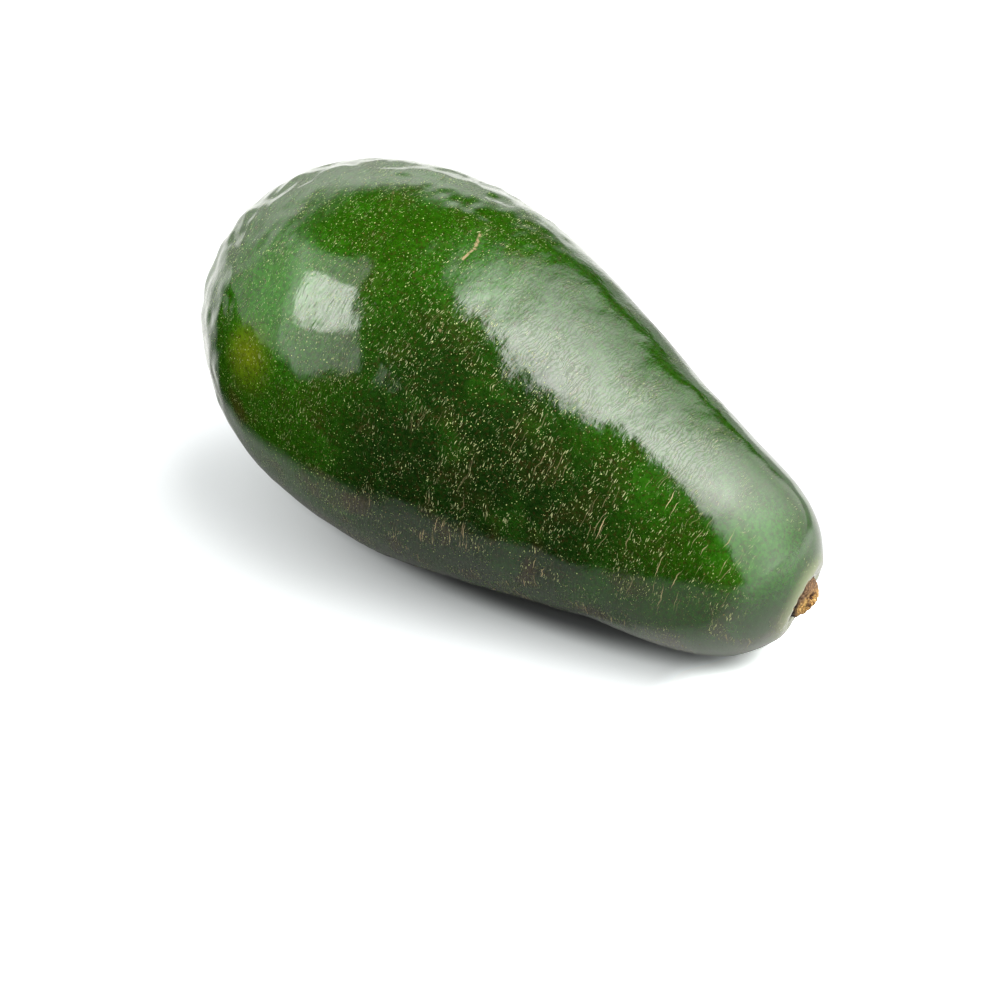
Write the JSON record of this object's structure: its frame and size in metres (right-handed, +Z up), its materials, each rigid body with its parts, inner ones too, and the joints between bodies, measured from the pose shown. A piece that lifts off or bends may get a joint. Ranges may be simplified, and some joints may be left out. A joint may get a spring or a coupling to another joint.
{
  "type": "avocado",
  "caption": "Whole smooth green pear-shaped avocado lying on its side, with a corky brown stalk stub in a shallow dimple at the end of its neck.",
  "frame": {"origin": "middle of the bounding box, on the surface that the fruit rests on", "axes": "+X along the fruit's length, towards the stem end; +Z up; the core line dips 13 degrees towards the neck, as the fruit lies"},
  "size_m": [0.1294, 0.069, 0.07],
  "materials": {
    "skin": "waxy, glossy deep green fruit skin with low lumps, fine yellowish specks and short tan corky streaks that run round the fruit",
    "cork": "matt, dry, flaky bark: dark brown sides and an orange-tan broken end"
  },
  "bodies": {
    "root": {"fruit": "skin", "stem_stub": "cork"}
  },
  "joints": []
}
